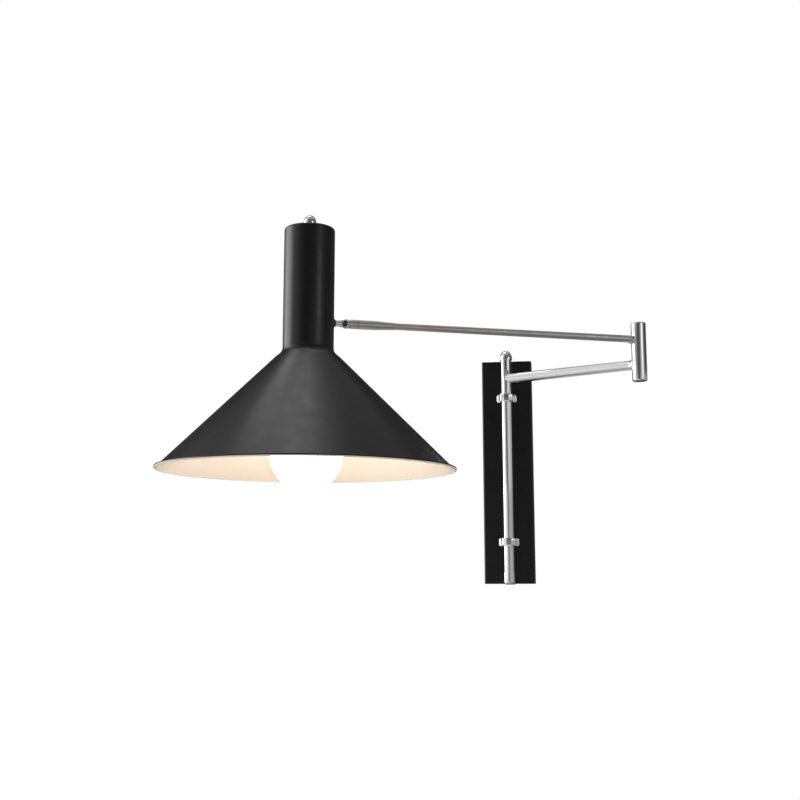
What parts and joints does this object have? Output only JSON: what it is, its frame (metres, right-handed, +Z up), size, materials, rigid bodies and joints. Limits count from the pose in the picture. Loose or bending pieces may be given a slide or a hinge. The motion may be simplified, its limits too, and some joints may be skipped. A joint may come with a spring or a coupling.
{
  "type": "swing arm wall lamp",
  "caption": "Wall lamp with a wide cone shade on a cylindrical neck, carried by a folding arm with elbow, swivel and tilt joints from a rod clipped to an upright wall box.",
  "frame": {"origin": "on the wall, at the middle of the wall bracket's back, midway between its two wall screw holes", "axes": "+Z up along the wall box, +Y into the wall, so the lamp stands out towards -Y; +X towards the elbow"},
  "size_m": [0.5469, 0.4408, 0.4155],
  "materials": {
    "satin_black": "satin",
    "shade_paint": "satin black outside, cream inside",
    "zinc_steel": "zinc plated",
    "white_plastic": "matte",
    "brass": "plain",
    "black_rubber": "matte",
    "chrome": "polished",
    "nylon": "natural",
    "phenolic": "semi-matte black",
    "porcelain": "unglazed white",
    "bulb_glass": "frosted, lit",
    "bulb_metal": "bright",
    "bulb_black_glass": "black glass"
  },
  "bodies": {
    "wall_unit": {"wall_bracket": "zinc_steel", "wall_cover": "satin_black", "cover_screws": "zinc_steel", "terminal_block": "white_plastic", "terminal_screws": "brass", "block_screw": "zinc_steel", "earth_screw": "brass", "cable_grommet": "black_rubber", "clip_upper": "chrome", "clip_lower": "chrome", "clip_pads": "nylon", "clip_screws": "chrome", "clip_nuts": "zinc_steel"},
    "rod_unit": {"pivot_rod": "chrome", "rod_top_nut": "chrome", "rod_end_cap": "chrome", "cable_bush": "black_rubber", "lower_arm": "chrome", "lower_knuckle": "chrome", "elbow_pivot": "zinc_steel", "elbow_end_lower": "chrome", "elbow_washer": "chrome", "elbow_spring": "zinc_steel", "elbow_nut": "zinc_steel"},
    "arm_unit": {"upper_knuckle": "chrome", "elbow_bush": "nylon", "elbow_end_upper": "chrome", "upper_arm": "chrome", "arm_ferrule": "chrome", "ferrule_screw": "zinc_steel"},
    "swivel": {"swivel_fork": "chrome", "tilt_screw": "chrome", "tilt_nut": "zinc_steel", "tilt_washers": "nylon"},
    "shade": {"tilt_stub": "chrome", "stub_collar": "satin_black", "stub_washer": "zinc_steel", "stub_nut": "zinc_steel", "neck_tube": "satin_black", "cone_shade": "shade_paint", "neck_washer": "chrome", "neck_nut": "chrome", "stem_tube": "zinc_steel", "stem_nuts": "zinc_steel", "holder_cap": "phenolic", "holder_shell": "phenolic", "holder_insert": "porcelain", "holder_thread": "brass", "holder_contact": "brass", "bulb_glass": "bulb_glass", "bulb_cap": "bulb_metal", "bulb_insulator": "bulb_black_glass", "bulb_contact": "bulb_metal"}
  },
  "joints": [
    {"name": "rod_swing", "type": "hinge", "parent": "wall_unit", "child": "rod_unit", "pos_m": [0, -0.0345, 0], "axis": [0, 0, 1], "range_deg": [-153, 26]},
    {"name": "elbow_swing", "type": "hinge", "parent": "rod_unit", "child": "arm_unit", "pos_m": [0.16349, -0.11673, 0.1489], "axis": [0, 0, 1], "range_deg": [-35, 295]},
    {"name": "shade_roll", "type": "hinge", "parent": "arm_unit", "child": "swivel", "pos_m": [-0.1349, -0.244, 0.1489], "axis": [0.9198, 0.3923, 0], "range_deg": [-90, 90]},
    {"name": "shade_tilt", "type": "hinge", "parent": "swivel", "child": "shade", "pos_m": [-0.16894, -0.25852, 0.1489], "axis": [-0.3923, 0.9198, 0], "range_deg": [-20, 59]}
  ]
}
